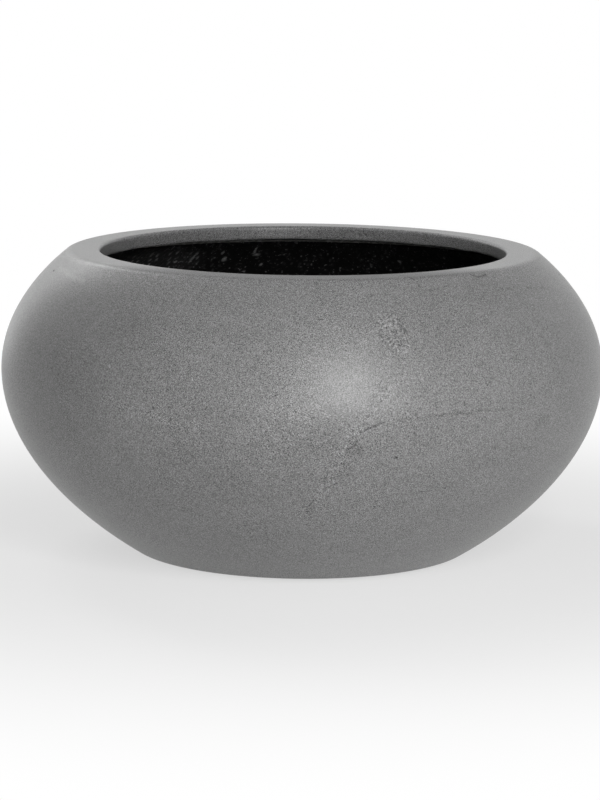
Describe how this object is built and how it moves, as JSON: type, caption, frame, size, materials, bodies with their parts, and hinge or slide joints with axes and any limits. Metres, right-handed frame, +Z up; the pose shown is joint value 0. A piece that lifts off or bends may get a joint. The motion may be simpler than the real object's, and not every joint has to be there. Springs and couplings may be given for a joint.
{
  "type": "bowl planter",
  "caption": "Round-bellied fibre-cement bowl planter with a flat returned rim, a black coated inside and a drain hole closed by a rubber plug.",
  "frame": {"origin": "on the floor, at the middle of the base", "axes": "+Z up along the bowl's axis; the pictured side faces -Y"},
  "size_m": [0.6, 0.6, 0.3],
  "materials": {
    "cement": "matte",
    "laminate": "matte",
    "coating": "satin",
    "rubber": "matte"
  },
  "bodies": {
    "bowl": {"concrete_shell": "cement", "fibre_backing": "laminate", "black_coating": "coating", "foot_pad_1": "rubber", "foot_pad_2": "rubber", "foot_pad_3": "rubber", "foot_pad_4": "rubber"},
    "plug": {"drain_plug": "rubber"}
  },
  "joints": [
    {"name": "plug_lift", "type": "slide", "parent": "bowl", "child": "plug", "axis": [0, 0, 1], "range_m": [0, 0.32]}
  ]
}
